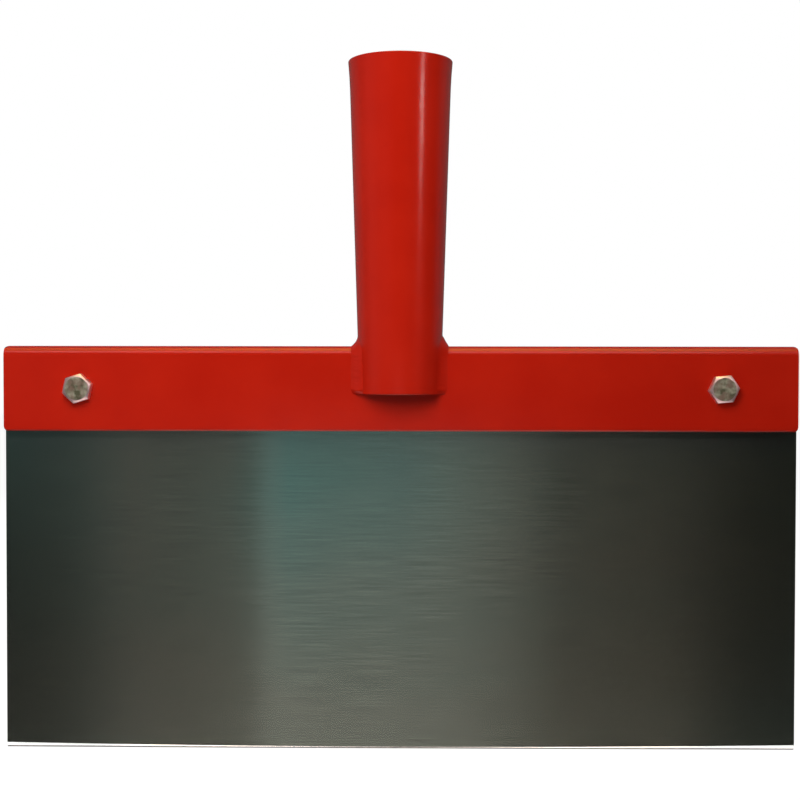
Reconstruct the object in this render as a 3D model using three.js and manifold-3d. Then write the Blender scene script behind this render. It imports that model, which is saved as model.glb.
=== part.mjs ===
// Head of a long-handled floor scraper: a wide spring steel blade bolted into a folded steel
// holder, with a tapered handle socket slotted over the holder and welded to it.
//
// Millimetres. +X runs to the right along the blade, +Y to the back, +Z up towards the handle.
// The origin is the middle of the cutting edge. The blade's mid plane and the socket's axis lie in Y = 0.

import * as THREE from "three";
import { ConvexGeometry } from "three/addons/geometries/ConvexGeometry.js";
import { mergeVertices } from "three/addons/utils/BufferGeometryUtils.js";
import Module from "manifold-3d";

const wasm = await Module();
wasm.setup();

// Driving dimensions

const WIDTH = 300; // of the blade and of the holder

const BLADE_THICK = 1;
const BLADE_HEIGHT = 149.1;
const BLADE_EXPOSED = 121.1; // from the cutting edge to the holder's lower edge
const BEVEL_HEIGHT = 0.6; // ground on the front face, in the middle of the blade
const BEVEL_SPREAD = 1.3; // how much higher the bevel reaches at the corners
const BEVEL_SLOPE = 0.42; // depth of the bevel over its height
const BEVEL_STEPS = 24; // along the blade

const HOLDER_SHEET = 3;
const HOLDER_SLOT = 1.3;
const HOLDER_HEIGHT = 32.2;
const HOLDER_CORNER = 1.6; // radius of its four corners, seen from the front

const SOCKET_WALL = 2;
const SOCKET_LOW_R = 15.4;
const SOCKET_CONE_R = 19.1;
const SOCKET_MOUTH_R = 19.7;
const SOCKET_LOW_Z = 135.1;
const SOCKET_CONE_Z = 252.6; // the cone ends here and flares out to the mouth
const SOCKET_MOUTH_Z = 260.6;
const SEAM_GAP = 0.5; // butt seam of the rolled sheet, at the back
const SCREW_HOLE_R = 2.5; // for the handle's fixing screw
const SCREW_HOLE_Z = 240.6;
const SCREW_HOLE_TURN = THREE.MathUtils.degToRad(40); // round the socket from the seam

const WELD_LEG = 3.2; // along the holder's face, from the socket outwards
const WELD_RISE = 3.45; // off the holder's face, up the socket's side
const WELD_CREST_LEG = 2.4;
const WELD_CREST_RISE = 4;
const WELD_TOE = 0.35; // thickness left at the bead's thin edge

const BOLT_X = 121.4;
const BOLT_Z = 137.2;
const BOLT_R = 3; // M6
const BOLT_LENGTH = 16;
const BOLT_TIP_CHAMFER = 0.7;
const BOLT_HOLE_R = 3.3;
const HEX_ACROSS_FLATS = 10;
const HEAD_HEIGHT = 4;
const NUT_HEIGHT = 5;
const NUT_BORE_R = 3.15;
const WASHER_OUTER_R = 5.9;
const WASHER_INNER_R = 3.2;
const WASHER_THICK = 1.6;
const WASHER_SPLIT = 0.8;
const WASHER_SPLIT_SLANT = THREE.MathUtils.degToRad(25);

// Where each side's hexagons and washer split point, as degrees round the bolt seen from the front.
const SIDES = [
  { side: "left", x: -BOLT_X, head: 17.4, nut: 41, split: 250 },
  { side: "right", x: BOLT_X, head: 5, nut: 12, split: 115 },
];

const GAP = 0.1; // left between pieces that touch
const RUN_GAP = 0.3; // left between two weld runs
const ROUND_STEPS = 48; // facets round the socket
const SMALL_STEPS = 24; // facets round bolts, holes and the fold

// Derived sizes

const HOLDER_HALF = HOLDER_SLOT / 2 + HOLDER_SHEET;
const HOLDER_TOP_Z = BLADE_EXPOSED + HOLDER_HEIGHT;
const FOLD_Z = HOLDER_TOP_Z - HOLDER_HALF; // axis of the fold
const SOCKET_TAPER = (SOCKET_CONE_R - SOCKET_LOW_R) / (SOCKET_CONE_Z - SOCKET_LOW_Z);
const HEX_CORNER_R = HEX_ACROSS_FLATS / Math.sqrt(3);

const socketRadiusAt = (z) => SOCKET_LOW_R + (z - SOCKET_LOW_Z) * SOCKET_TAPER;

// Solids and booleans

function solidOf(geometry) {
  const bare = geometry.clone();
  bare.deleteAttribute("normal");
  bare.deleteAttribute("uv");
  const merged = mergeVertices(bare, 1e-4);
  return new wasm.Manifold(
    new wasm.Mesh({
      numProp: 3,
      vertProperties: merged.attributes.position.array,
      triVerts: new Uint32Array(merged.index.array),
    }),
  );
}

function geometryOf(solid) {
  const { vertProperties, triVerts } = solid.getMesh();
  const geometry = new THREE.BufferGeometry();
  geometry.setAttribute("position", new THREE.BufferAttribute(vertProperties, 3));
  geometry.setIndex(new THREE.BufferAttribute(triVerts, 1));
  return geometry;
}

function shapeOf(points) {
  return new THREE.Shape(points.map(([a, b]) => new THREE.Vector2(a, b)));
}

function extrude(shape, depth, steps = 1) {
  const options = { depth, steps, bevelEnabled: false, curveSegments: SMALL_STEPS / 2 };
  return new THREE.ExtrudeGeometry(shape, options);
}

// A Y-Z section carried along X, over the whole width.
function alongX(shape, steps) {
  const turn = new THREE.Matrix4().makeBasis(
    new THREE.Vector3(0, 1, 0),
    new THREE.Vector3(0, 0, 1),
    new THREE.Vector3(1, 0, 0),
  );
  return extrude(shape, WIDTH, steps).applyMatrix4(turn).translate(-WIDTH / 2, 0, 0);
}

// A closed [radius, height] profile turned round the Z axis.
function turned(profile, steps) {
  const points = [...profile, profile[0]].map(([r, h]) => new THREE.Vector2(r, h));
  return new THREE.LatheGeometry(points, steps).rotateX(Math.PI / 2);
}

function cylinderAlongY(radius, length) {
  return new THREE.CylinderGeometry(radius, radius, length, SMALL_STEPS);
}

function boltHole(x) {
  return solidOf(cylinderAlongY(BOLT_HOLE_R, 4 * HOLDER_HALF).translate(x, 0, BOLT_Z));
}

function withBoltHoles(solid) {
  return SIDES.reduce((left, { x }) => left.subtract(boltHole(x)), solid);
}

// Pieces

function bladeGeometry() {
  const front = -BLADE_THICK / 2;
  const back = BLADE_THICK / 2;
  const section = shapeOf([
    [front + BEVEL_SLOPE * BEVEL_HEIGHT, 0],
    [back, 0],
    [back, BLADE_HEIGHT],
    [front, BLADE_HEIGHT],
    [front, BEVEL_HEIGHT],
  ]);
  return geometryOf(withBoltHoles(solidOf(spreadBevel(alongX(section, BEVEL_STEPS)))));
}

// Grinds the bevel further up towards the corners. The cutting edge stays straight.
function spreadBevel(geometry) {
  const place = geometry.attributes.position;
  for (let i = 0; i < place.count; i++) {
    const rise = BEVEL_SPREAD * (place.getX(i) / (WIDTH / 2)) ** 2;
    const onFoot = place.getZ(i) < BEVEL_HEIGHT / 2 && place.getY(i) < 0;
    const onTop = Math.abs(place.getZ(i) - BEVEL_HEIGHT) < BEVEL_HEIGHT / 2;
    if (onTop) place.setZ(i, place.getZ(i) + rise);
    if (onFoot) place.setY(i, place.getY(i) + BEVEL_SLOPE * rise);
  }
  return geometry;
}

function holderGeometry() {
  const section = new THREE.Shape();
  section.moveTo(HOLDER_HALF, BLADE_EXPOSED);
  section.lineTo(HOLDER_HALF, FOLD_Z);
  section.absarc(0, FOLD_Z, HOLDER_HALF, 0, Math.PI, false);
  section.lineTo(-HOLDER_HALF, BLADE_EXPOSED);
  section.lineTo(-HOLDER_SLOT / 2, BLADE_EXPOSED);
  section.lineTo(-HOLDER_SLOT / 2, FOLD_Z);
  section.absarc(0, FOLD_Z, HOLDER_SLOT / 2, Math.PI, 0, true);
  section.lineTo(HOLDER_SLOT / 2, BLADE_EXPOSED);
  section.closePath();
  const folded = solidOf(alongX(section)).intersect(roundedFront());
  return geometryOf(withBoltHoles(folded));
}

// The holder's outline from the front, with its round corners, as a block deeper than the holder.
function roundedFront() {
  const outline = new THREE.Shape();
  const x = WIDTH / 2 - HOLDER_CORNER;
  const low = BLADE_EXPOSED + HOLDER_CORNER;
  const high = HOLDER_TOP_Z - HOLDER_CORNER;
  outline.absarc(x, low, HOLDER_CORNER, -Math.PI / 2, 0, false);
  outline.absarc(x, high, HOLDER_CORNER, 0, Math.PI / 2, false);
  outline.absarc(-x, high, HOLDER_CORNER, Math.PI / 2, Math.PI, false);
  outline.absarc(-x, low, HOLDER_CORNER, Math.PI, 1.5 * Math.PI, false);
  const depth = 4 * HOLDER_HALF;
  return solidOf(extrude(outline, depth).rotateX(Math.PI / 2).translate(0, depth / 2, 0));
}

// The socket is a rolled cone, slotted at both sides where it straddles the holder.
function socketGeometry() {
  const wall = solidOf(
    turned(
      [
        [SOCKET_LOW_R, SOCKET_LOW_Z],
        [SOCKET_CONE_R, SOCKET_CONE_Z],
        [SOCKET_MOUTH_R, SOCKET_MOUTH_Z],
        [SOCKET_MOUTH_R - SOCKET_WALL, SOCKET_MOUTH_Z],
        [SOCKET_CONE_R - SOCKET_WALL, SOCKET_CONE_Z],
        [SOCKET_LOW_R - SOCKET_WALL, SOCKET_LOW_Z],
      ],
      ROUND_STEPS,
    ),
  );
  return geometryOf(wall.subtract(holderSlot()).subtract(seam()).subtract(screwHole()));
}

function holderSlot() {
  const low = SOCKET_LOW_Z - 1;
  const high = HOLDER_TOP_Z + GAP;
  const size = [3 * SOCKET_MOUTH_R, 2 * (HOLDER_HALF + GAP), high - low];
  return solidOf(new THREE.BoxGeometry(...size).translate(0, 0, (low + high) / 2));
}

function seam() {
  const height = 2 * SOCKET_MOUTH_Z;
  const box = new THREE.BoxGeometry(SEAM_GAP, SOCKET_MOUTH_R, height);
  return solidOf(box.translate(0, SOCKET_MOUTH_R / 2 + HOLDER_HALF, 0));
}

function screwHole() {
  const drill = cylinderAlongY(SCREW_HOLE_R, SOCKET_MOUTH_R);
  drill.translate(0, SOCKET_MOUTH_R, SCREW_HOLE_Z).rotateZ(-SCREW_HOLE_TURN);
  return solidOf(drill);
}

// What a weld has to stay clear of: the socket, and the fold of the holder.
function socketClearance() {
  const low = SOCKET_LOW_Z - 1;
  const profile = [
    [0, low],
    [socketRadiusAt(low) + GAP, low],
    [SOCKET_CONE_R + GAP, SOCKET_CONE_Z],
    [0, SOCKET_CONE_Z],
  ];
  return solidOf(turned(profile, ROUND_STEPS));
}

function foldClearance() {
  const bar = cylinderAlongY(HOLDER_HALF + GAP, WIDTH).rotateZ(Math.PI / 2);
  return solidOf(bar.translate(0, 0, FOLD_Z));
}

// The bead's corners in a section square to the run: the toe on the holder, the blunt edge
// above it, the crown, and the top on the socket. out is measured from the socket's axis,
// up from the holder's face.
function beadCorners(leg, rise, topOut) {
  const toeOut = SOCKET_LOW_R + leg;
  return [
    { out: toeOut, up: 0 },
    { out: toeOut, up: WELD_TOE },
    { out: (toeOut + topOut) / 2 + 0.25, up: rise / 2 + 0.35 },
    { out: topOut, up: rise },
  ];
}

const RUN_INSIDE = SOCKET_LOW_R - 3; // welds are built from inside the socket's wall, then cut back
const FACE_BEAD = beadCorners(WELD_LEG, WELD_RISE, 13.7);
const CREST_BEAD = beadCorners(WELD_CREST_LEG + 0.7, WELD_CREST_RISE, 16.2);

// A run up the joint between the holder's face and the socket's side, at the right and front.
function faceRunSolid() {
  const face = HOLDER_HALF + GAP;
  const corners = FACE_BEAD.map(({ out, up }) => [out, -face - up]);
  const section = shapeOf([[RUN_INSIDE, -face], [RUN_INSIDE, -face - WELD_RISE], ...corners.reverse()]);
  const run = extrude(section, FOLD_Z - SOCKET_LOW_Z).translate(0, 0, SOCKET_LOW_Z);
  return solidOf(run).subtract(socketClearance());
}

// A run over the fold at the right, from the front run's section to the back run's.
function foldRunSolid() {
  const points = [];
  const STEPS = 6;
  for (let i = 0; i <= STEPS; i++) {
    const angle = (Math.PI * i) / STEPS;
    const share = Math.sin(angle); // 0 at the faces, 1 at the crest
    FACE_BEAD.forEach((low, k) => {
      const high = CREST_BEAD[k];
      const radius = HOLDER_HALF + GAP + low.up + (high.up - low.up) * share;
      const y = -radius * Math.cos(angle);
      const z = FOLD_Z + RUN_GAP + radius * share;
      points.push(new THREE.Vector3(low.out + (high.out - low.out) * share, y, z));
      points.push(new THREE.Vector3(RUN_INSIDE, y, z));
    });
  }
  const roof = solidOf(new ConvexGeometry(points));
  return roof.subtract(foldClearance()).subtract(socketClearance());
}

// The same solid on the other side of X = 0 or Y = 0.
function mirrored(solid, flipX, flipY) {
  const { vertProperties, triVerts } = solid.getMesh();
  const scale = [flipX ? -1 : 1, flipY ? -1 : 1, 1];
  const moved = vertProperties.map((value, i) => value * scale[i % 3]);
  const turnedRound = flipX !== flipY;
  const faces = triVerts.slice();
  for (let i = 0; turnedRound && i < faces.length; i += 3) {
    [faces[i], faces[i + 1]] = [faces[i + 1], faces[i]];
  }
  const geometry = new THREE.BufferGeometry();
  geometry.setAttribute("position", new THREE.BufferAttribute(moved, 3));
  geometry.setIndex(new THREE.BufferAttribute(faces, 1));
  return geometry;
}

// Fasteners are made along +Z, which points from the bolt's head to its tip.

// A hexagonal prism with one corner on +X, its corners chamfered at the ends that are asked for.
function hexPrism(low, high, chamferLow, chamferHigh) {
  const height = high - low;
  const prism = new THREE.CylinderGeometry(HEX_CORNER_R, HEX_CORNER_R, height, 6);
  prism.rotateY(Math.PI / 2).rotateX(Math.PI / 2).translate(0, 0, (low + high) / 2);
  const faceR = 0.475 * HEX_ACROSS_FLATS;
  const outerR = HEX_CORNER_R + GAP;
  const drop = (outerR - faceR) * Math.tan(Math.PI / 6);
  const barrel = [
    [0, low],
    [chamferLow ? faceR : outerR, low],
    [outerR, chamferLow ? low + drop : low],
    [outerR, chamferHigh ? high - drop : high],
    [chamferHigh ? faceR : outerR, high],
    [0, high],
  ];
  return solidOf(prism).intersect(solidOf(turned(barrel, SMALL_STEPS)));
}

function boltGeometry() {
  const shank = [
    [0, -HEAD_HEIGHT / 2],
    [BOLT_R, -HEAD_HEIGHT / 2],
    [BOLT_R, BOLT_LENGTH - BOLT_TIP_CHAMFER],
    [BOLT_R - BOLT_TIP_CHAMFER, BOLT_LENGTH],
    [0, BOLT_LENGTH],
  ];
  const head = hexPrism(-HEAD_HEIGHT, 0, true, false);
  return geometryOf(head.add(solidOf(turned(shank, SMALL_STEPS))));
}

function nutGeometry() {
  const bore = new THREE.CylinderGeometry(NUT_BORE_R, NUT_BORE_R, 3 * NUT_HEIGHT, SMALL_STEPS);
  const body = hexPrism(0, NUT_HEIGHT, true, true);
  return geometryOf(body.subtract(solidOf(bore.rotateX(Math.PI / 2))));
}

function washerGeometry() {
  const ring = turned(
    [
      [WASHER_INNER_R, 0],
      [WASHER_OUTER_R, 0],
      [WASHER_OUTER_R, WASHER_THICK],
      [WASHER_INNER_R, WASHER_THICK],
    ],
    SMALL_STEPS,
  );
  const split = new THREE.BoxGeometry(2 * WASHER_OUTER_R, WASHER_SPLIT, 4 * WASHER_THICK);
  split.rotateX(WASHER_SPLIT_SLANT).translate(WASHER_OUTER_R, 0, WASHER_THICK / 2);
  return geometryOf(solidOf(ring).subtract(solidOf(split)));
}

// Materials

const finish = (color, roughness, metalness) =>
  new THREE.MeshStandardMaterial({ color, roughness, metalness, flatShading: true });

const redPaint = () => finish(0xb01c0e, 0.35, 0);
const bluedSteel = () => finish(0x4a524c, 0.4, 1);
const zincPlate = () => finish(0x9b9585, 0.4, 1);

// Assembly

const scraper = new THREE.Group();
scraper.name = "floor_scraper";

function addPiece(parent, name, geometry, material) {
  const mesh = new THREE.Mesh(geometry, material);
  mesh.name = name;
  parent.add(mesh);
  return mesh;
}

addPiece(scraper, "blade", bladeGeometry(), bluedSteel());
addPiece(scraper, "holder", holderGeometry(), redPaint());
addPiece(scraper, "socket", socketGeometry(), redPaint());

const faceRun = faceRunSolid();
const foldRun = foldRunSolid();
for (const [side, flipX] of [["left", true], ["right", false]]) {
  addPiece(scraper, `weld_front_${side}`, mirrored(faceRun, flipX, false), redPaint());
  addPiece(scraper, `weld_back_${side}`, mirrored(faceRun, flipX, true), redPaint());
  addPiece(scraper, `weld_top_${side}`, mirrored(foldRun, flipX, false), redPaint());
}

// Each bolt's group stands with its +Z along the world's +Y, at the front face of the holder.
for (const { side, x, head, nut, split } of SIDES) {
  const axis = new THREE.Group();
  axis.position.set(x, 0, BOLT_Z);
  axis.rotation.x = -Math.PI / 2;
  scraper.add(axis);
  const bolt = addPiece(axis, `bolt_${side}`, boltGeometry(), zincPlate());
  const washer = addPiece(axis, `lock_washer_${side}`, washerGeometry(), zincPlate());
  const nutMesh = addPiece(axis, `nut_${side}`, nutGeometry(), zincPlate());
  bolt.position.z = -HOLDER_HALF - GAP;
  washer.position.z = HOLDER_HALF + GAP;
  nutMesh.position.z = washer.position.z + WASHER_THICK + GAP;
  bolt.rotation.z = -THREE.MathUtils.degToRad(head);
  washer.rotation.z = -THREE.MathUtils.degToRad(split);
  nutMesh.rotation.z = -THREE.MathUtils.degToRad(nut);
}

export default scraper;
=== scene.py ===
"""The looks of a long-handled floor scraper's head: blade, holder, socket, welds and fasteners.

+X runs to the right along the blade, +Y to the back and +Z up towards the handle. Lengths are in
metres, so a size in millimetres is written as a number times MM. Places come from the frame.
"""

import math

import bmesh
import bpy
from mathutils import Matrix, Vector, noise


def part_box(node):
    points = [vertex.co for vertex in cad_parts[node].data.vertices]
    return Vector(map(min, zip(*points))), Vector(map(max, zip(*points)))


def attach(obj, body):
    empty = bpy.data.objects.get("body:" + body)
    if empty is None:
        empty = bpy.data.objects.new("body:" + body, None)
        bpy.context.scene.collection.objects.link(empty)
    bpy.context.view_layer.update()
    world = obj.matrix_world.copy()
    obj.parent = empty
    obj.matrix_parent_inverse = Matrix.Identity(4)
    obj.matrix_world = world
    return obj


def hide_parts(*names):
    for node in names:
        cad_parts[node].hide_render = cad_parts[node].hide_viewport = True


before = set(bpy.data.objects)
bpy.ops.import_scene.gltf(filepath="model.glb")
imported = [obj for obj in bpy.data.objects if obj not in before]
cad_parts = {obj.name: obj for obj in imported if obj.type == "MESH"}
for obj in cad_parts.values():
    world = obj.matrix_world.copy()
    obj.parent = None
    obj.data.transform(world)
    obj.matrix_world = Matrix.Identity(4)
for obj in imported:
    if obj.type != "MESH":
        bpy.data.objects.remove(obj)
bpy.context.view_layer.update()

MM = 0.001

# Sizes that the frame gives

holder_low, holder_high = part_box("holder")
blade_low, blade_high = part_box("blade")
socket_low, socket_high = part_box("socket")
HALF_WIDTH = holder_high.x
HOLDER_HALF = holder_high.y
HOLDER_LOW_Z = holder_low.z
HOLDER_TOP_Z = holder_high.z
FOLD_Z = HOLDER_TOP_Z - HOLDER_HALF
BLADE_HALF = blade_high.y
BLADE_TOP_Z = blade_high.z
SOCKET_LOW_Z = socket_low.z
SOCKET_MOUTH_Z = socket_high.z
SOCKET_MOUTH_R = socket_high.x

# Sizes that it doesn't

SLOT_HALF = 0.65 * MM  # half of the gap between the holder's two legs
HOLDER_CORNER = 1.6 * MM  # radius of the holder's corners, seen from the front
PAINTED_EDGE = 0.5 * MM  # radius that paint leaves on a sheared edge
LOWER_EDGE = 0.9 * MM  # the same on the holder's lower edges, where paint gathers
BLADE_EDGE = 0.12 * MM  # radius left on the blade's sheared edges
BURR = 0.04 * MM  # taken off the back of the cutting edge
BEVEL_HEIGHT = 0.6 * MM  # ground on the blade's front face, in the middle
BEVEL_SPREAD = 1.3 * MM  # how much higher the bevel reaches at the corners
BEVEL_SLOPE = 0.42  # depth of the bevel over its height
DARK_FOOT_HEIGHT = 0.55 * MM  # height of the darker strip along the cutting edge
SOCKET_WALL = 2 * MM
SOCKET_LOW_R = 15.4 * MM
SOCKET_TAPER = 3.7 / 117.5
SOCKET_FLARE_Z = 247.6 * MM
SEAM_HALF = 0.25 * MM
SCREW_HOLE_R = 2.5 * MM
SCREW_HOLE_Z = 240.6 * MM
SCREW_HOLE_TURN = math.radians(40)  # round the socket from the seam
SLOT_CLEARANCE = 0.1 * MM  # between the socket's slots and the holder
BOLT_HOLE_R = 3.3 * MM
ACROSS_FLATS = 10 * MM
CHAMFER_FACE_R = 4.35 * MM
CHAMFER = math.tan(math.radians(30))
THREAD_R = 3 * MM  # M6
THREAD_PITCH = 1 * MM
THREAD_DEPTH = 0.61 * MM
THREAD_CLEARANCE = 0.08 * MM
TIP_CHAMFER = 0.7 * MM
COUNTERSINK = 0.35 * MM  # depth of the nut's thread chamfers
WASHER_INNER_R = 3.2 * MM
WASHER_SPLIT = 0.8 * MM
WASHER_SLANT = math.tan(math.radians(25))

# How far each hexagon and each washer's split is turned, as degrees round the bolt from +X,
# seen from the front.
SIDES = {
    "left": {"head": 17.4, "nut": 41, "split": 250},
    "right": {"head": 5, "nut": 12, "split": 115},
}


# Meshes


def arc(centre, radius, start, end, steps):
    """Points of an arc in a plane, from one angle in degrees to another."""
    angles = [math.radians(start + (end - start) * i / steps) for i in range(steps + 1)]
    return [(centre[0] + radius * math.cos(a), centre[1] + radius * math.sin(a)) for a in angles]


def eased(distance, radius):
    """How far a rounded edge has dropped away, at a distance in from the face that it ends on."""
    reach = max(radius - distance, 0)
    return radius - math.sqrt(radius * radius - reach * reach)


def blend(a, b, share):
    return a + (b - a) * share


def skin(rings, closed=True, capped=True):
    """Points and faces of the surface through rings that have the same number of points."""
    count = len(rings[0])
    points = [point for ring in rings for point in ring]
    faces = []
    for row in range(len(rings) - 1):
        for i in range(count if closed else count - 1):
            a, b = row * count + i, row * count + (i + 1) % count
            faces.append((a, b, b + count, a + count))
    if capped:
        faces.append(tuple(range(count)))
        faces.append(tuple(range((len(rings) - 1) * count, len(rings) * count)))
    return points, faces


def make_piece(name, points, faces, material, place=None):
    mesh = bpy.data.meshes.new(name)
    mesh.from_pydata(points, [], faces)
    body = bmesh.new()
    body.from_mesh(mesh)
    bmesh.ops.remove_doubles(body, verts=body.verts, dist=0.0005 * MM)
    bmesh.ops.recalc_face_normals(body, faces=body.faces)
    if place:
        bmesh.ops.transform(body, matrix=place, verts=body.verts)
    body.to_mesh(mesh)
    body.free()
    if material:
        mesh.materials.append(material)
    piece = bpy.data.objects.new(name, mesh)
    bpy.context.scene.collection.objects.link(piece)
    return piece


def apply_modifiers(piece):
    made = piece.evaluated_get(bpy.context.evaluated_depsgraph_get())
    mesh = bpy.data.meshes.new_from_object(made)
    piece.modifiers.clear()
    piece.data = mesh


def cut(piece, cutters):
    for cutter in cutters:
        step = piece.modifiers.new("cut", "BOOLEAN")
        step.operation = "DIFFERENCE"
        step.solver = "EXACT"
        step.object = cutter
    apply_modifiers(piece)
    for cutter in cutters:
        bpy.data.objects.remove(cutter)


def drill(radius, place, steps=64):
    """A long cylinder to cut with, along the Z axis of its place."""
    half = 30 * MM
    rings = [[(x, y, z) for x, y in arc((0, 0), radius, 0, 360, steps)[:-1]] for z in (-half, half)]
    return make_piece("drill", *skin(rings), None, place)


def shade(piece, sharp_degrees=35):
    """Smooth shading that leaves flats flat and keeps hard edges."""
    piece.data.shade_smooth()
    piece.data.set_sharp_from_angle(angle=math.radians(sharp_degrees))
    step = piece.modifiers.new("flat faces lead", "WEIGHTED_NORMAL")
    step.keep_sharp = True
    step.weight = 100
    apply_modifiers(piece)


def settle(piece, body, slot, *nodes):
    """Hangs a finished piece on the body that it rides on and hides the nodes that it stands for. The
    slot, what it is made of, is not used.
    """
    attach(piece, body)
    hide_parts(*nodes)


# Materials


def linear(hex_colour):
    """An sRGB hex colour as linear RGBA."""
    parts = [int(hex_colour[i : i + 2], 16) / 255 for i in (1, 3, 5)]
    curve = [p / 12.92 if p <= 0.04045 else ((p + 0.055) / 1.055) ** 2.4 for p in parts]
    return (*curve, 1.0)


def add_node(tree, kind, inputs=(), **settings):
    """A node with its settings. An input is a value, or the output that it is linked to."""
    made = tree.nodes.new(kind)
    for name, value in settings.items():
        setattr(made, name, value)
    for key, value in dict(inputs).items():
        if isinstance(value, bpy.types.NodeSocket):
            tree.links.new(value, made.inputs[key])
        else:
            made.inputs[key].default_value = value
    return made


MIX_SHARE, MIX_A, MIX_B, MIX_RESULT = 0, 6, 7, 2  # sockets of a Mix node for colours
LEVEL_A, LEVEL_B = 2, 3  # sockets of a Mix node for plain levels


def ramp(tree, share, levels):
    """A grey level that follows a share from 0 to 1 through points (share, level)."""
    curve = add_node(tree, "ShaderNodeValToRGB", {"Fac": share})
    stops = curve.color_ramp.elements
    while len(stops) < len(levels):
        stops.new(0.5)
    for stop, (position, level) in zip(stops, levels):
        stop.position = position
        stop.color = (level, level, level, 1)
    return curve.outputs["Color"]


def start_material(name):
    """A material's tree, and its object coordinates, which are in metres."""
    material = bpy.data.materials.new(name)
    material.use_nodes = True
    tree = material.node_tree
    tree.nodes.clear()
    place = add_node(tree, "ShaderNodeTexCoord").outputs["Object"]
    return material, tree, place


def finish_material(tree, inputs):
    shader = add_node(tree, "ShaderNodeBsdfPrincipled", inputs)
    add_node(tree, "ShaderNodeOutputMaterial", {"Surface": shader.outputs["BSDF"]})


def red_enamel():
    """Stoved gloss enamel, sprayed on steel. It gives a deep, even red whose reflections are sharp but
    slightly broken by orange peel, with a few dust nibs under the gloss."""
    material, tree, place = start_material("red_enamel")
    coat = add_node(tree, "ShaderNodeTexNoise", {"Vector": place, "Scale": 1 / (28 * MM), "Detail": 3})
    share = add_node(
        tree,
        "ShaderNodeMapRange",
        {"Value": coat.outputs["Fac"], "From Min": 0.35, "From Max": 0.65},
    )
    colour = add_node(
        tree,
        "ShaderNodeMix",
        {
            MIX_SHARE: share.outputs["Result"],
            MIX_A: linear("#BE1D0C"),
            MIX_B: linear("#C6210E"),
        },
        data_type="RGBA",
    )
    gloss = add_node(
        tree,
        "ShaderNodeMapRange",
        {"Value": coat.outputs["Fac"], "From Min": 0.3, "From Max": 0.7, "To Min": 0.16, "To Max": 0.24},
    )
    # Orange peel: waves about 1.4 mm apart and a few hundredths of a millimetre deep.
    peel = add_node(tree, "ShaderNodeTexNoise", {"Vector": place, "Scale": 1 / (1.4 * MM), "Detail": 1})
    swell = add_node(tree, "ShaderNodeTexNoise", {"Vector": place, "Scale": 1 / (7 * MM), "Detail": 1})
    # Dust nibs: specks about 0.4 mm across, one in every few square centimetres.
    dust = add_node(tree, "ShaderNodeTexVoronoi", {"Vector": place, "Scale": 1 / (5 * MM)})
    nibs = add_node(
        tree,
        "ShaderNodeMapRange",
        {"Value": dust.outputs["Distance"], "From Min": 0.06, "From Max": 0.02},
    )
    swell_bump = add_node(
        tree,
        "ShaderNodeBump",
        {"Height": swell.outputs["Fac"], "Strength": 1.0, "Distance": 0.05 * MM},
    )
    peel_bump = add_node(
        tree,
        "ShaderNodeBump",
        {
            "Height": peel.outputs["Fac"],
            "Strength": 1.0,
            "Distance": 0.03 * MM,
            "Normal": swell_bump.outputs["Normal"],
        },
    )
    nib_bump = add_node(
        tree,
        "ShaderNodeBump",
        {
            "Height": nibs.outputs["Result"],
            "Strength": 0.5,
            "Distance": 0.03 * MM,
            "Normal": peel_bump.outputs["Normal"],
        },
    )
    finish_material(
        tree,
        {
            "Base Color": colour.outputs[MIX_RESULT],
            "Roughness": gloss.outputs["Result"],
            "IOR": 1.45,
            "Normal": nib_bump.outputs["Normal"],
        },
    )
    return material


def stretched(tree, place, size):
    """Coordinates in which a pattern of unit size is this many metres along X, Y and Z."""
    return add_node(
        tree,
        "ShaderNodeVectorMath",
        {0: place, 1: [1 / s for s in size]},
        operation="MULTIPLY",
    ).outputs["Vector"]


# How much of the teal oxide there is along the blade, as (share of its length, level).
OXIDE_DRIFT = (
    (0, 0.75),
    (0.09, 0.6),
    (0.16, 0.2),
    (0.28, 0.35),
    (0.36, 1),
    (0.5, 0.75),
    (0.65, 0.2),
    (1, 0.15),
)


def blued_spring_steel():
    """Hardened strip, ground along its length and blued in the furnace. The grinding lines stretch
    reflections up and down, and the oxide turns from teal under the holder to olive at the edge.
    The bevel is ground after blueing, so it is bright, with a darker line at its foot."""
    material, tree, place = start_material("blued_spring_steel")
    axes = add_node(tree, "ShaderNodeSeparateXYZ", {"Vector": place})
    # Grinding lines are about 0.1 mm apart. These are 0.45 mm, so that they show.
    lines = add_node(
        tree,
        "ShaderNodeTexNoise",
        {
            "Vector": stretched(tree, place, (24 * MM, 10 * MM, 0.45 * MM)),
            "Scale": 1,
            "Detail": 3,
            "Roughness": 0.6,
        },
    ).outputs["Fac"]
    lightness = add_node(
        tree,
        "ShaderNodeMapRange",
        {"Value": lines, "From Min": 0.25, "From Max": 0.75, "To Min": 0.88, "To Max": 1.12},
    )
    blued = add_node(
        tree,
        "ShaderNodeVectorMath",
        {0: furnace_oxide(tree, place, axes), "Scale": lightness.outputs["Result"]},
        operation="SCALE",
    )
    polish = add_node(
        tree,
        "ShaderNodeMapRange",
        {"Value": lines, "From Min": 0.25, "From Max": 0.75, "To Min": 0.17, "To Max": 0.2},
    )
    grooves = add_node(
        tree,
        "ShaderNodeBump",
        {"Height": lines, "Strength": 0.15, "Distance": 0.01 * MM},
    )
    along = add_node(tree, "ShaderNodeTangent", direction_type="RADIAL", axis="Z")
    finish_material(
        tree,
        {
            "Base Color": with_ground_bevel(tree, axes, blued.outputs["Vector"]),
            "Metallic": 1.0,
            "Roughness": polish.outputs["Result"],
            "Anisotropic": 1.0,
            "Anisotropic Rotation": 0.25,
            "Tangent": along.outputs["Tangent"],
            "Normal": grooves.outputs["Normal"],
        },
    )
    return material


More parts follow.
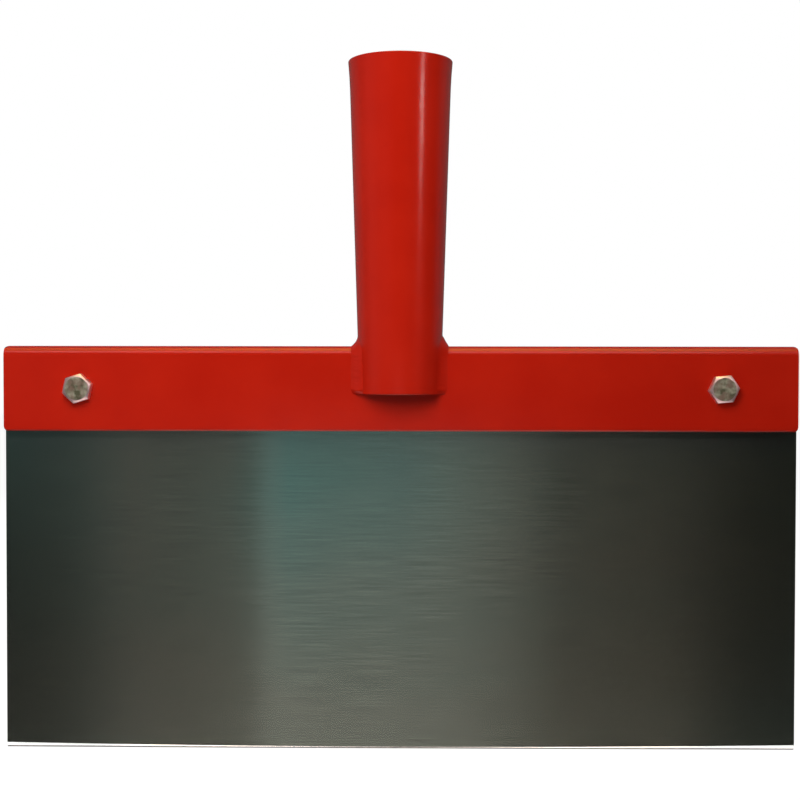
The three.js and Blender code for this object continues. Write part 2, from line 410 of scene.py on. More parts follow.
def furnace_oxide(tree, place, axes):
    """The oxide's colour, olive with teal towards the top and in the stretches of OXIDE_DRIFT."""
    drift = add_node(
        tree,
        "ShaderNodeTexNoise",
        {"Vector": stretched(tree, place, (90 * MM, 90 * MM, 45 * MM)), "Scale": 1, "Detail": 2},
    )
    height = add_node(
        tree,
        "ShaderNodeMapRange",
        {"Value": axes.outputs["Z"], "From Min": 0, "From Max": HOLDER_LOW_Z},
        interpolation_type="SMOOTHSTEP",
    )
    along_strip = add_node(
        tree,
        "ShaderNodeMapRange",
        {"Value": axes.outputs["X"], "From Min": -HALF_WIDTH, "From Max": HALF_WIDTH},
    )
    teal_share = add_node(
        tree,
        "ShaderNodeMath",
        {0: height.outputs["Result"], 1: ramp(tree, along_strip.outputs["Result"], OXIDE_DRIFT)},
        operation="MULTIPLY",
    )
    teal_drift = add_node(
        tree,
        "ShaderNodeMath",
        {0: drift.outputs["Fac"], 1: 0.5, 2: -0.25},
        operation="MULTIPLY_ADD",
    )
    teal = add_node(
        tree,
        "ShaderNodeMath",
        {0: teal_share.outputs[0], 1: teal_drift.outputs[0]},
        operation="ADD",
        use_clamp=True,
    )
    return add_node(
        tree,
        "ShaderNodeMix",
        {MIX_SHARE: teal.outputs[0], MIX_A: linear("#B6BEB0"), MIX_B: linear("#84B4AD")},
        data_type="RGBA",
    ).outputs[MIX_RESULT]


LOOKS_DOWN = -0.2  # a face whose normal has a lower Z than this is part of the bevel


def with_ground_bevel(tree, axes, blued):
    """The blued colour, with bare ground steel where a face looks down, and a darker strip at its foot.
    """
    normal = add_node(tree, "ShaderNodeNewGeometry").outputs["True Normal"]
    facing = add_node(tree, "ShaderNodeSeparateXYZ", {"Vector": normal})
    on_bevel = add_node(
        tree,
        "ShaderNodeMath",
        {0: facing.outputs["Z"], 1: LOOKS_DOWN},
        operation="LESS_THAN",
    )
    # The lowest strip of the bevel, along the cutting edge, takes a darker grey than the rest of the
    # bevel.
    above_dark_foot = add_node(
        tree,
        "ShaderNodeMath",
        {0: axes.outputs["Z"], 1: DARK_FOOT_HEIGHT},
        operation="GREATER_THAN",
    )
    ground = add_node(
        tree,
        "ShaderNodeMix",
        {MIX_SHARE: above_dark_foot.outputs[0], MIX_A: linear("#484846"), MIX_B: linear("#EDEDEA")},
        data_type="RGBA",
    )
    return add_node(
        tree,
        "ShaderNodeMix",
        {MIX_SHARE: on_bevel.outputs[0], MIX_A: blued, MIX_B: ground.outputs[MIX_RESULT]},
        data_type="RGBA",
    ).outputs[MIX_RESULT]


def zinc_plate():
    """Electroplated zinc on cold-headed steel, gone dull. The face is mottled from olive grey to
    a warm brown where the passivation has worn, and the turned chamfers stay bright."""
    material, tree, place = start_material("zinc_plate")
    patches = add_node(
        tree,
        "ShaderNodeTexNoise",
        {"Vector": place, "Scale": 1 / (2.2 * MM), "Detail": 2, "Roughness": 0.45},
    ).outputs["Fac"]
    rim = from_bolt_axis(tree, place)
    colour = add_node(
        tree,
        "ShaderNodeMix",
        {MIX_SHARE: rim, MIX_A: worn_passivation(tree, place, patches), MIX_B: linear("#F4D6D8")},
        data_type="RGBA",
    )
    gloss = add_node(
        tree,
        "ShaderNodeMapRange",
        {"Value": patches, "From Min": 0.3, "From Max": 0.7, "To Min": 0.48, "To Max": 0.34},
    )
    grain = add_node(
        tree,
        "ShaderNodeTexNoise",
        {"Vector": place, "Scale": 1 / (0.35 * MM), "Detail": 3},
    )
    grain_bump = add_node(
        tree,
        "ShaderNodeBump",
        {"Height": grain.outputs["Fac"], "Strength": 0.6, "Distance": 0.02 * MM},
    )
    finish_material(
        tree,
        {
            "Base Color": colour.outputs[MIX_RESULT],
            "Metallic": bareness(tree, rim),
            "Roughness": gloss.outputs["Result"],
            "Normal": grain_bump.outputs["Normal"],
        },
    )
    return material


def worn_passivation(tree, place, patches):
    """The mottled colour of a dull face, from dark to light olive grey, with warm brown patches."""
    share = add_node(
        tree,
        "ShaderNodeMapRange",
        {"Value": patches, "From Min": 0.35, "From Max": 0.65},
    )
    warm = add_node(tree, "ShaderNodeTexNoise", {"Vector": place, "Scale": 1 / (2.6 * MM), "Detail": 2})
    warm_share = add_node(
        tree,
        "ShaderNodeMapRange",
        {"Value": warm.outputs["Fac"], "From Min": 0.45, "From Max": 0.65, "To Max": 0.8},
    )
    dull = add_node(
        tree,
        "ShaderNodeMix",
        {MIX_SHARE: share.outputs["Result"], MIX_A: linear("#6E6E55"), MIX_B: linear("#CFCBB2")},
        data_type="RGBA",
    )
    return add_node(
        tree,
        "ShaderNodeMix",
        {
            MIX_SHARE: warm_share.outputs["Result"],
            MIX_A: dull.outputs[MIX_RESULT],
            MIX_B: linear("#A8897A"),
        },
        data_type="RGBA",
    ).outputs[MIX_RESULT]


def bareness(tree, rim):
    """How bare the metal is. A dull face is under a thin film, which scatters light like paint.
    The flats of the hexagons are bare and mirror what is beside them."""
    normal = add_node(tree, "ShaderNodeNewGeometry").outputs["True Normal"]
    facing = add_node(tree, "ShaderNodeSeparateXYZ", {"Vector": normal}).outputs["Y"]
    forward = add_node(tree, "ShaderNodeMath", {0: facing}, operation="ABSOLUTE")
    filmed = add_node(
        tree,
        "ShaderNodeMapRange",
        {
            "Value": forward.outputs[0],
            "From Min": 0.3,
            "From Max": 0.6,
            "To Min": 1.0,
            "To Max": 0.55,
        },
    )
    return add_node(
        tree,
        "ShaderNodeMix",
        {MIX_SHARE: rim, LEVEL_A: filmed.outputs["Result"], LEVEL_B: 0.85},
        data_type="FLOAT",
    ).outputs[0]


def from_bolt_axis(tree, place):
    """1 outside the flat face of either bolt and 0 on it, from the distance to the bolt's axis."""
    mirrored = add_node(tree, "ShaderNodeVectorMath", {0: place}, operation="ABSOLUTE")
    axis = bolt_axis("right")
    offset = add_node(
        tree,
        "ShaderNodeVectorMath",
        {0: mirrored.outputs["Vector"], 1: axis},
        operation="SUBTRACT",
    )
    flat = add_node(
        tree,
        "ShaderNodeVectorMath",
        {0: offset.outputs["Vector"], 1: (1, 0, 1)},
        operation="MULTIPLY",
    )
    distance = add_node(tree, "ShaderNodeVectorMath", {0: flat.outputs["Vector"]}, operation="LENGTH")
    return add_node(
        tree,
        "ShaderNodeMapRange",
        {
            "Value": distance.outputs["Value"],
            "From Min": CHAMFER_FACE_R - 0.15 * MM,
            "From Max": CHAMFER_FACE_R + 0.1 * MM,
        },
    ).outputs["Result"]


# Blade and holder


def end_distances(radius, steps=8):
    """Distances in from an end at which a rounded edge of this radius is drawn."""
    return [radius * (1 - math.cos(math.pi / 2 * i / steps)) for i in range(steps + 1)]


def stations(distances, between=()):
    """Places along X with their distance to the nearer end, from the left end to the right."""
    left = [(-HALF_WIDTH + d, d) for d in distances]
    middle = [(x, HALF_WIDTH) for x in between]
    right = [(HALF_WIDTH - d, d) for d in reversed(distances)]
    return left + middle + right


def blade_section(x, distance):
    """The blade's outline at a place along it, ground on its front face down to a straight edge."""
    ease = eased(distance, BLADE_EDGE)
    front, back = -BLADE_HALF + ease, BLADE_HALF - ease
    top = BLADE_TOP_Z - ease
    bevel = BEVEL_HEIGHT + BEVEL_SPREAD * (x / HALF_WIDTH) ** 2
    foot = -BLADE_HALF + BEVEL_SLOPE * bevel
    outline = [
        (foot, ease),
        (back - BURR, ease),
        (back, ease + BURR),
        (back, top - BLADE_EDGE),
        (back - BLADE_EDGE, top),
        (front + BLADE_EDGE, top),
        (front, top - BLADE_EDGE),
        (front, bevel),
    ]
    return [(x, y, z) for y, z in outline]


def build_blade(material):
    between = [HALF_WIDTH * i / 24 for i in range(-23, 24)]
    rings = [blade_section(x, d) for x, d in stations(end_distances(BLADE_EDGE, 4), between)]
    piece = make_piece("blade_strip", *skin(rings), material)
    cut(piece, bolt_drills())
    shade(piece, sharp_degrees=15)
    settle(piece, "head", "blued_spring_steel", "blade")


def bolt_drills():
    """A drill for each bolt hole, which is the same in the blade and in the holder."""
    along_y = Matrix.Rotation(math.radians(90), 4, "X")
    return [drill(BOLT_HOLE_R, Matrix.Translation(bolt_axis(side)) @ along_y) for side in SIDES]


def bolt_axis(side):
    """The middle of a bolt's node, moved to Y = 0."""
    low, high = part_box(f"bolt_{side}")
    return Vector(((low.x + high.x) / 2, 0, (low.z + high.z) / 2))


def holder_section(x, distance):
    """The folded sheet's outline at a place along it: two legs with rounded ends, and the fold."""
    ease = eased(distance, PAINTED_EDGE)
    corner = eased(distance, HOLDER_CORNER)
    outer, inner = HOLDER_HALF - ease, SLOT_HALF + 0.5 * ease
    low, top = HOLDER_LOW_Z + corner, HOLDER_TOP_Z - corner
    big, small = LOWER_EDGE, 0.3 * MM
    outline = arc((outer - big, low + big), big, -90, 0, 6)
    outline += arc((0, FOLD_Z), outer, 0, 180, 40)
    outline += arc((big - outer, low + big), big, 180, 270, 6)
    outline += arc((-inner - small, low + small), small, -90, 0, 4)
    outline += arc((0, FOLD_Z), inner, 180, 0, 12)
    outline += arc((inner + small, low + small), small, 180, 270, 4)
    return [(x, y, min(z, top)) for y, z in outline]


def build_holder(material):
    distances = end_distances(PAINTED_EDGE, 6) + [HOLDER_CORNER * s for s in (0.4, 0.55, 0.75, 1)]
    rings = [holder_section(x, d) for x, d in stations(distances)]
    piece = make_piece("holder_fold", *skin(rings), material)
    cut(piece, bolt_drills())
    shade(piece)
    settle(piece, "head", "red_paint", "holder")


# Socket


def socket_radius(z):
    """Outside radius of the rolled cone, which flares a little at its mouth."""
    cone = SOCKET_LOW_R + (z - SOCKET_LOW_Z) * SOCKET_TAPER
    mouth_cone = SOCKET_LOW_R + (SOCKET_MOUTH_Z - SOCKET_LOW_Z) * SOCKET_TAPER
    flare = max(z - SOCKET_FLARE_Z, 0) / (SOCKET_MOUTH_Z - SOCKET_FLARE_Z)
    return cone + (SOCKET_MOUTH_R - mouth_cone) * flare**2


def socket_profile(inset):
    """The wall's outline as (radius, height), drawn in from its faces by an inset."""
    low, high, big, small = SOCKET_LOW_Z, SOCKET_MOUTH_Z, PAINTED_EDGE, 0.35 * MM
    low_r, high_r = socket_radius(low) - inset, socket_radius(high) - inset
    low_in, high_in = low_r - SOCKET_WALL + 2 * inset, high_r - SOCKET_WALL + 2 * inset
    rows = [low + big + (high - low - 2 * big) * i / 24 for i in range(1, 24)]
    outline = arc((low_r - big, low + big), big, -90, 0, 5)
    outline += [(socket_radius(z) - inset, z) for z in rows]
    outline += arc((high_r - big, high - big), big, 0, 90, 5)
    outline += arc((high_in + small, high - small), small, 90, 180, 4)
    outline += [(socket_radius(z) - SOCKET_WALL + inset, z) for z in reversed(rows)]
    outline += arc((low_in + small, low + small), small, 180, 270, 4)
    return outline


def socket_ring(turn, side_gap, inset):
    """The wall's outline at a turn from the seam, at a distance from the seam's middle."""
    ring = []
    for radius, z in socket_profile(inset):
        gap = math.asin(side_gap / radius)
        angle = gap + (2 * math.pi - 2 * gap) * turn
        ring.append((radius * math.sin(angle), radius * math.cos(angle), z))
    return ring


def build_socket(material):
    """A sheet rolled to a cone, open along its butt seam at the back and slotted over the holder."""
    steps = 192
    ease = 0.3 * MM
    lip = [(SEAM_HALF + d, eased(d, ease)) for d in end_distances(ease, 4)[:-1]]
    rings = [socket_ring(0, gap, inset) for gap, inset in lip]
    rings += [socket_ring(i / steps, SEAM_HALF + ease, 0) for i in range(steps + 1)]
    rings += [socket_ring(1, gap, inset) for gap, inset in reversed(lip)]
    piece = make_piece("socket_cone", *skin(rings), material)
    # The drill is 60 mm long and ends 14.5 mm short of the axis, so it misses the front wall.
    direction = Matrix.Rotation(-SCREW_HOLE_TURN, 4, "Z")
    place = direction @ Matrix.Translation((0, 1.5 * SOCKET_MOUTH_R + 15 * MM, SCREW_HOLE_Z))
    screw_hole = drill(SCREW_HOLE_R, place @ Matrix.Rotation(math.radians(90), 4, "X"))
    cut(piece, [holder_slot(), screw_hole])
    shade(piece)
    settle(piece, "head", "red_paint", "socket")


def holder_slot():
    """What is cut out of the socket's foot on both sides, so that it sits astride the holder."""
    half = HOLDER_HALF + SLOT_CLEARANCE
    low, high = SOCKET_LOW_Z - 1 * MM, HOLDER_TOP_Z + SLOT_CLEARANCE
    outline = [(-half, low), (half, low), (half, high), (-half, high)]
    rings = [[(x, y, z) for y, z in outline] for x in (-2 * SOCKET_MOUTH_R, 2 * SOCKET_MOUTH_R)]
    return make_piece("slot", *skin(rings), None)


# Welds

FACE_TOE_X = {"left": 18.6 * MM, "right": 17.9 * MM}
CREST_TOE_X = 18.5 * MM
FACE_RISE, CREST_RISE = 3.45 * MM, 4.0 * MM
BEAD_END = 2.8 * MM  # length over which a bead rounds off
RIPPLE_PITCH = 1.3 * MM
RIPPLE_DEPTH = 0.012 * MM
BEAD_BELLY = {"left": 0.3 * MM, "right": -0.4 * MM}  # how far a face run stands proud of a fillet
CREST_BELLY = {"left": -0.55 * MM, "right": 0.0}  # the same over the fold
END_SWELL = 0.35 * MM  # the blob where a bead starts and stops
TOE_WANDER, TOE_WANDER_PITCH = 0.16 * MM, 3.5 * MM
LUMP_HEIGHT, LUMP_PITCH = 0.13 * MM, 1.6 * MM


def bead_path():
    """Stations up the front face, over the fold and down the back: the point on the holder's
    surface and the way off it, both as (y, z), and the share of the crest's shape."""
    step = 0.16 * MM
    run = FOLD_Z - SOCKET_LOW_Z
    count = round(run / step)
    front = [((-HOLDER_HALF, SOCKET_LOW_Z + run * i / count), (-1, 0), 0) for i in range(count)]
    fold_count = round(math.pi * HOLDER_HALF * 1.5 / step)
    fold = []
    for i in range(fold_count + 1):
        angle = math.pi * i / fold_count
        away = (-math.cos(angle), math.sin(angle))
        place = (HOLDER_HALF * away[0], FOLD_Z + HOLDER_HALF * away[1])
        fold.append((place, away, math.sin(angle)))
    back = [((-y, z), (1, 0), 0) for (y, z), _, _ in reversed(front)]
    return front + fold + back


def bead_section(place, away, crest, travelled, end, belly, face_toe, seed):
    """One section of a bead at the right: its face from the toe on the holder to the toe on the
    socket, and two points that close it inside the steel."""
    rise = blend(FACE_RISE, CREST_RISE, crest) * blend(0.55, 1, end)

    def socket_x(up):
        y, z = place[0] + up * away[0], place[1] + up * away[1]
        return math.sqrt(max(socket_radius(max(z, SOCKET_LOW_Z)) ** 2 - y * y, 0))

    base_x, crown_x = socket_x(0), socket_x(rise)
    uneven = TOE_WANDER * noise.noise(Vector((travelled / TOE_WANDER_PITCH, seed, 0)))
    toe_x = blend(base_x, blend(face_toe, CREST_TOE_X, crest) + uneven, blend(0.5, 1, end))
    length = math.hypot(toe_x - crown_x, rise)
    normal = (rise / length, (toe_x - crown_x) / length)
    section = []
    steps = 16
    for i in range(steps + 1):
        share = i / steps
        hump = 4 * share * (1 - share)
        wave = math.cos(2 * math.pi * (travelled / RIPPLE_PITCH + 0.9 * hump))
        lumps = noise.noise(Vector((travelled / LUMP_PITCH, share * 1.8, seed)))
        rough = RIPPLE_DEPTH * wave + LUMP_HEIGHT * lumps
        proud = belly * hump + rough * math.sqrt(hump) * end
        x = blend(toe_x, crown_x, share) + proud * normal[0]
        up = rise * share + proud * normal[1]
        section.append((x, up))
    section.append((crown_x - 0.8 * MM, rise - 0.3 * MM))
    section.append((base_x - 1.0 * MM, -0.3 * MM))
    return [(x, place[0] + up * away[0], place[1] + up * away[1]) for x, up in section]


def build_weld(side, material):
    """One bead that stands for a front, a top and a back run, built on the right and mirrored."""
    sign, seed = {"left": (-1, 3.7), "right": (1, 8.2)}[side]
    path = bead_path()
    travelled = [0.0]
    for (a, _, _), (b, _, _) in zip(path, path[1:]):
        travelled.append(travelled[-1] + math.dist(a, b))
    rings = []
    for (place, away, crest), along in zip(path, travelled):
        from_end = min(along, travelled[-1] - along)
        end = 1 - eased(from_end, BEAD_END) / BEAD_END
        swell = END_SWELL * math.exp(-(((from_end - 1.6 * MM) / (1.0 * MM)) ** 2))
        belly = blend(BEAD_BELLY[side], CREST_BELLY[side], crest) * end + swell
        ring = bead_section(place, away, crest, along, end, belly, FACE_TOE_X[side], seed)
        rings.append([(sign * x, y, z) for x, y, z in ring])
    piece = make_piece(f"weld_bead_{side}", *skin(rings), material)
    shade(piece, sharp_degrees=50)
    nodes = [f"weld_{run}_{side}" for run in ("front", "top", "back")]
    settle(piece, "head", "red_paint", *nodes)


# Fasteners are drawn along +Z, from the bolt's head to its tip, and then laid along the world's +Y.


def fastener_place(side):
    return Matrix.Translation(bolt_axis(side)) @ Matrix.Rotation(math.radians(-90), 4, "X")


def hexagon_reach(angle, corner_round=0.3 * MM):
    """Distance from the axis to the side of a hexagon with a corner at angle 0."""
    sixth = math.radians(60)
    off = abs((angle + sixth / 2) % sixth - sixth / 2)
    centre = (ACROSS_FLATS / 2 - corner_round) / math.cos(sixth / 2)
    side = centre * math.sin(off)
    touch = corner_round * math.sin(sixth / 2)
    if off < math.atan2(touch, centre + corner_round * math.cos(sixth / 2)):
        return centre * math.cos(off) + math.sqrt(corner_round**2 - side**2)
    return ACROSS_FLATS / 2 / math.cos(sixth / 2 - off)


def hexagon_angles(turn):
    """Angles round a turned hexagon, close together at its corners, with the first one repeated."""
    offsets = [-30, -22, -15, -9, -5.5, -3.2, -2, -1, 0, 1, 2, 3.2, 5.5, 9, 15, 22]
    angles = [turn + math.radians(60 * k + off) for k in range(6) for off in offsets]
    return angles + [angles[0] + 2 * math.pi]


THREAD_ROWS = ((0.0, 1), (0.14, 1), (0.47, 0), (0.67, 0))  # share of a pitch, and 1 on the crest


def thread_points(angle, low, high, limit, root, crest):
    """A column of a right-handed thread as (radius, height), each row a helix. Past its two ends
    a row stays on them, and limit(radius, z) trims it to a chamfer."""
    turns = math.ceil((high - low) / THREAD_PITCH) + 2
    column = []
    for k in range(-2, turns):
        for share, on_crest in THREAD_ROWS:
            z = (k + share + angle / (2 * math.pi)) * THREAD_PITCH + low - low % THREAD_PITCH
            z = min(max(z, low), high)
            column.append((limit(crest if on_crest else root, z), z))
    return column


def columns_mesh(name, columns, angles, wrapped, material, place):
    """A closed mesh from columns of (radius, height), the first and last of which coincide."""
    rings = []
    for angle, column in zip(angles, columns):
        rings.append([(r * math.cos(angle), r * math.sin(angle), z) for r, z in column])
    points, faces = skin(rings, closed=wrapped, capped=False)
    return make_piece(name, points, faces, material, place)


def chamfered_side(reach, face_z, way):
    """A hexagon's end at one angle, from the flat face to its side: the chamfer with soft edges."""
    soft = 0.07 * MM
    drop = (reach - CHAMFER_FACE_R) * CHAMFER
    return [
        (CHAMFER_FACE_R - 2 * soft, face_z),
        (CHAMFER_FACE_R + 1.5 * soft, face_z + way * 1.5 * soft * CHAMFER),
        (reach - soft, face_z + way * (drop - soft * CHAMFER)),
        (reach, face_z + way * (drop + soft)),
    ]


def build_bolt(side, material):
    """A hexagon bolt with a bearing face under its head and a thread down to a chamfered tip."""
    low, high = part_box(f"bolt_{side}")
    top, tip, seat = low.y, high.y, -HOLDER_HALF
    turn = -math.radians(SIDES[side]["head"])
    bearing_r, bearing_top = 0.475 * ACROSS_FLATS, seat - 0.3 * MM
    tip_r = THREAD_R - TIP_CHAMFER

    def trimmed(radius, z):
        if z <= seat:
            return THREAD_R
        return min(radius, tip_r + (tip - z)) if z < tip else tip_r

    angles = hexagon_angles(turn)
    columns = []
    for angle in angles:
        reach = hexagon_reach(angle - turn)
        column = [(0, top + 0.12 * MM), (0.5 * CHAMFER_FACE_R, top + 0.1 * MM)]
        column += [(0.8 * CHAMFER_FACE_R, top)] + chamfered_side(reach, top, 1)
        column += [(reach, bearing_top - 0.12 * MM), (reach - 0.12 * MM, bearing_top)]
        column += [(bearing_r, bearing_top), (bearing_r, seat)]
        column += thread_points(angle, seat, tip, trimmed, THREAD_R - THREAD_DEPTH, THREAD_R)
        column += [(0, tip)]
        columns.append(column)
    piece = columns_mesh(f"hex_bolt_{side}", columns, angles, False, material, fastener_place(side))
    shade(piece)
    settle(piece, "head", "zinc_plate", f"bolt_{side}")


def build_nut(side, material):
    """A hexagon nut, chamfered and threaded right through."""
    low, high = (corner.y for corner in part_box(f"nut_{side}"))
    turn = -math.radians(SIDES[side]["nut"])
    sink_r = THREAD_R + COUNTERSINK

    def trimmed(radius, z):
        return max(radius, sink_r - min(z - low, high - z))

    angles = hexagon_angles(turn)
    columns = []
    for angle in angles:
        reach = hexagon_reach(angle - turn)
        column = chamfered_side(reach, low, 1)
        column += reversed(chamfered_side(reach, high, -1))
        root = THREAD_R - THREAD_DEPTH + THREAD_CLEARANCE
        thread = thread_points(angle, low, high, trimmed, root, THREAD_R + THREAD_CLEARANCE)
        columns.append(column + thread[::-1])
    piece = columns_mesh(f"hex_nut_{side}", columns, angles, True, material, fastener_place(side))
    shade(piece)
    settle(piece, f"nut_{side}", "zinc_plate", f"nut_{side}")


def build_lock_washer(side, material):
    """A split spring washer, flattened: square wire with soft corners and a slanted gap."""
    low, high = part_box(f"lock_washer_{side}")
    outer = (high.x - low.x) / 2
    middle, soft = (low.y + high.y) / 2, 0.15 * MM
    split = -math.radians(SIDES[side]["split"])
    outline = arc((outer - soft, high.y - soft), soft, 0, 90, 3)
    outline += arc((WASHER_INNER_R + soft, high.y - soft), soft, 90, 180, 3)
    outline += arc((WASHER_INNER_R + soft, low.y + soft), soft, 180, 270, 3)
    outline += arc((outer - soft, low.y + soft), soft, 270, 360, 3)
    steps = 96
    rings = []
    for i in range(steps + 1):
        ring = []
        for radius, z in outline:
            lean = -(z - middle) * WASHER_SLANT / radius
            gap = WASHER_SPLIT / 2 / radius
            start, end = split + gap + lean, split + 2 * math.pi - gap + lean
            angle = blend(start, end, i / steps)
            ring.append((radius * math.cos(angle), radius * math.sin(angle), z))
        rings.append(ring)
    piece = make_piece(f"spring_washer_{side}", *skin(rings), material, fastener_place(side))
    shade(piece)
    settle(piece, f"washer_{side}", "zinc_plate", f"lock_washer_{side}")


# Studio


def build_floor():
    """A pale disc under the blade, for the camera only. Lights below it shine through."""
    radius, below_blade = 4.0, 0.2 * MM
    points = [(x, y, -below_blade) for x, y in arc((0, 0), radius, 0, 360, 64)[:-1]]
    material, tree, place = start_material("pale_floor")
    grain = add_node(tree, "ShaderNodeTexNoise", {"Vector": place, "Scale": 1 / (60 * MM), "Detail": 3})
    colour = add_node(
        tree,
        "ShaderNodeMix",
        {MIX_SHARE: grain.outputs["Fac"], MIX_A: linear("#777775"), MIX_B: linear("#7F7F7D")},
        data_type="RGBA",
    )
    finish_material(
        tree,
        {
            "Base Color": colour.outputs[MIX_RESULT],
            "Roughness": 0.9,
            "Emission Color": linear("#FFFFFF"),
            "Emission Strength": 0.93,
        },
    )
    floor = make_piece("floor", points, [tuple(range(64))], material)
    floor.visible_glossy = False
    floor.visible_diffuse = False
    floor.visible_shadow = False


def soft_box(name, place, aim, size, radiance, colour="#FFFFFF", matt=True, gloss=True):
    """A rectangular light at a place, turned to face a point. Matt and gloss say whether it
    lights surfaces and whether it shows in their reflections."""
    light = bpy.data.lights.new(name, "AREA")
    light.shape = "RECTANGLE"
    light.size, light.size_y = size
    light.color = linear(colour)[:3]
    light.energy = radiance * math.pi * size[0] * size[1]
    lamp = bpy.data.objects.new(name, light)
    lamp.location = place
    lamp.rotation_euler = (Vector(aim) - Vector(place)).to_track_quat("-Z", "Y").to_euler()
    lamp.visible_camera = False
    lamp.visible_diffuse = matt
    lamp.visible_glossy = gloss
    light.cycles.use_multiple_importance_sampling = gloss  # keeps a matt light out of gloss
    bpy.context.scene.collection.objects.link(lamp)
    return light


def grade(light, levels):
    """Lets a light's brightness vary along its width, through (share of the width, level)."""
    light.use_nodes = True
    tree = light.node_tree
    tree.nodes.clear()
    across = add_node(tree, "ShaderNodeNewGeometry").outputs["Parametric"]
    axes = add_node(tree, "ShaderNodeSeparateXYZ", {"Vector": across})
    glow = add_node(tree, "ShaderNodeEmission", {"Color": ramp(tree, axes.outputs["X"], levels)})
    add_node(tree, "ShaderNodeOutputLight", {"Surface": glow.outputs[0]})


# Brightness across the two cards that the blade reflects: dark at the left, a band, then fading.
CARD = (
    (0.0, 0.0),
    (0.148, 0.02),
    (0.19, 0.06),
    (0.252, 0.21),
    (0.315, 0.24),
    (0.367, 0.34),
    (0.39, 0.44),
    (0.41, 0.96),
    (0.46, 0.84),
    (0.523, 0.8),
    (0.585, 0.71),
    (0.648, 0.45),
    (0.71, 0.13),
    (0.773, 0.06),
    (0.835, 0.03),
    (0.898, 0.0),
    (1.0, 0.0),
)

# Brightness across the light that the holder's fold reflects.
CEILING = ((0, 0.4), (0.2, 0.55), (0.4, 1.0), (0.6, 0.9), (0.8, 0.7), (0.9, 0.4), (1, 0.1))

# Brightness across a light that fades out at both ends.
SOFT_ENDS = ((0, 0), (0.25, 0.6), (0.5, 1), (0.75, 0.6), (1, 0))


def build_lights():
    soft_box("key", (-0.08, -0.33, 0.31), (-0.06, 0, 0.13), (0.2, 0.2), 7.4, gloss=False)
    soft_box("left", (-0.4, -0.22, 0.22), (0, 0, 0.13), (0.2, 0.25), 0.9, gloss=False)
    soft_box("right", (0.75, -0.12, 0.22), (0, 0, 0.13), (0.5, 0.5), 1.75, gloss=False)
    soft_box("top", (-0.18, -0.45, 1.1), (-0.05, 0, 0.15), (1.0, 0.8), 1.1, "#FFE9D2", gloss=False)
    soft_box("bounce", (-0.2, -0.4, -0.2), (-0.05, 0, 0.13), (0.4, 0.2), 2, gloss=False)
    front_left = soft_box("front_left", (-0.34, -0.38, 0.24), (0, 0, 0.2), (0.56, 0.3), 0.1, matt=False)
    grade(front_left, SOFT_ENDS)
    far_left = soft_box("far_left", (-0.6, -0.15, 0.2), (0, 0, 0.17), (0.6, 0.5), 0.17, matt=False)
    grade(far_left, SOFT_ENDS)
    soft_box("behind", (-0.4, 0.8, 0.6), (0, 0, 0.13), (0.8, 0.6), 1.8, gloss=False)
    ceiling = soft_box("ceiling", (0, -0.15, 1.1), (0, 0, 0.15), (1.0, 0.7), 2.9, "#FFE97C", matt=False)
    grade(ceiling, CEILING)
    soft_box("edge", (0.93, -0.76, 0.63), (0, 0, 0.25), (0.13, 0.6), 10.5, "#FFF4EE", matt=False)
    soft_box("high", (-0.05, -0.5, 0.66), (-0.05, 0, 0.13), (0.7, 0.2), 2.8, "#FFDDDA", matt=False)
    soft_box("low", (0, -0.4, -0.55), (0, 0, 0.13), (0.5, 0.2), 3.2, "#FFE3D6", matt=False)
    soft_box("under_edge", (0, -0.055, -0.1), (0, 0, 0), (0.6, 0.05), 1.7, matt=False)
    for name, z, height, level in (("card", -0.11, 0.44, 0.22), ("card_top", 0.08, 0.06, 0.46)):
        light = soft_box(name, (-0.03, -0.34, z), (-0.03, 0, z), (0.6, height), level, matt=False)
        grade(light, CARD)


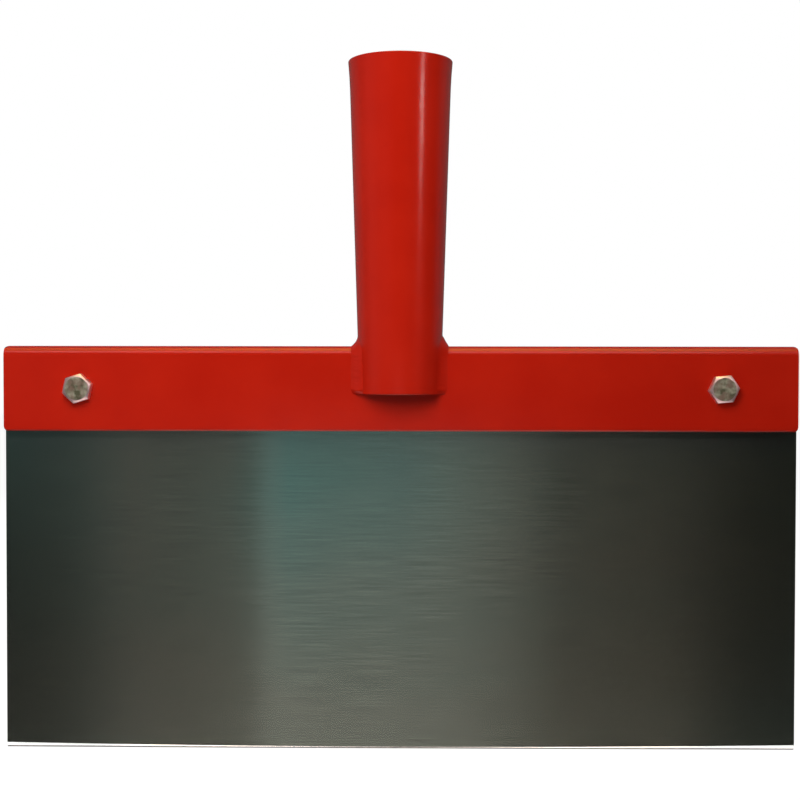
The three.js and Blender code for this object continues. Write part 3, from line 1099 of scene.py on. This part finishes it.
def build_world():
    """White to the camera. To everything else it is dim in front, and bright behind and overhead."""
    world = bpy.data.worlds.new("studio")
    bpy.context.scene.world = world
    world.use_nodes = True
    tree = world.node_tree
    tree.nodes.clear()
    way = add_node(tree, "ShaderNodeTexCoord").outputs["Generated"]
    axes = add_node(tree, "ShaderNodeSeparateXYZ", {"Vector": way})
    behind = add_node(
        tree,
        "ShaderNodeMapRange",
        {"Value": axes.outputs["Y"], "From Min": 0.0, "From Max": 0.4, "To Min": 0.01, "To Max": 0.15},
        interpolation_type="SMOOTHSTEP",
    )
    above = add_node(
        tree,
        "ShaderNodeMapRange",
        {"Value": axes.outputs["Z"], "From Min": 0.35, "From Max": 0.85, "To Max": 0.2},
        interpolation_type="SMOOTHSTEP",
    )
    both = add_node(
        tree,
        "ShaderNodeMath",
        {0: behind.outputs["Result"], 1: above.outputs["Result"]},
        operation="MAXIMUM",
    )
    seen = add_node(tree, "ShaderNodeLightPath").outputs["Is Camera Ray"]
    strength = add_node(
        tree,
        "ShaderNodeMix",
        {MIX_SHARE: seen, LEVEL_A: both.outputs[0], LEVEL_B: 1.0},
        data_type="FLOAT",
    )
    background = add_node(tree, "ShaderNodeBackground", {"Strength": strength.outputs[0]})
    background.inputs["Color"].default_value = linear("#FFFFFF")
    add_node(tree, "ShaderNodeOutputWorld", {"Surface": background.outputs[0]})
    bpy.context.scene.view_settings.view_transform = "Standard"


LENS = 63.88  # focal length in mm, for a sensor 36 mm wide
CAMERA_PLACE = (5.94 * MM, -538.6 * MM, 145.4 * MM)
SWING_DEGREES = 0.631  # to the left
DIP_DEGREES = 1.327
LEAN_DEGREES = 0.08  # round its own line of sight


def build_camera():
    data = bpy.data.cameras.new("camera")
    data.lens = LENS
    data.sensor_width = 36
    camera = bpy.data.objects.new("camera", data)
    swing = Matrix.Rotation(math.radians(SWING_DEGREES), 4, "Z")
    tilt = Matrix.Rotation(math.radians(90 - DIP_DEGREES), 4, "X")
    lean = Matrix.Rotation(math.radians(LEAN_DEGREES), 4, "Z")
    camera.matrix_world = Matrix.Translation(CAMERA_PLACE) @ swing @ tilt @ lean
    bpy.context.scene.collection.objects.link(camera)
    bpy.context.scene.camera = camera


build_camera()
build_world()
build_lights()
build_floor()

enamel = red_enamel()
build_blade(blued_spring_steel())
build_holder(enamel)
build_socket(enamel)
zinc = zinc_plate()
for side in SIDES:
    build_weld(side, enamel)
    build_bolt(side, zinc)
    build_lock_washer(side, zinc)
    build_nut(side, zinc)
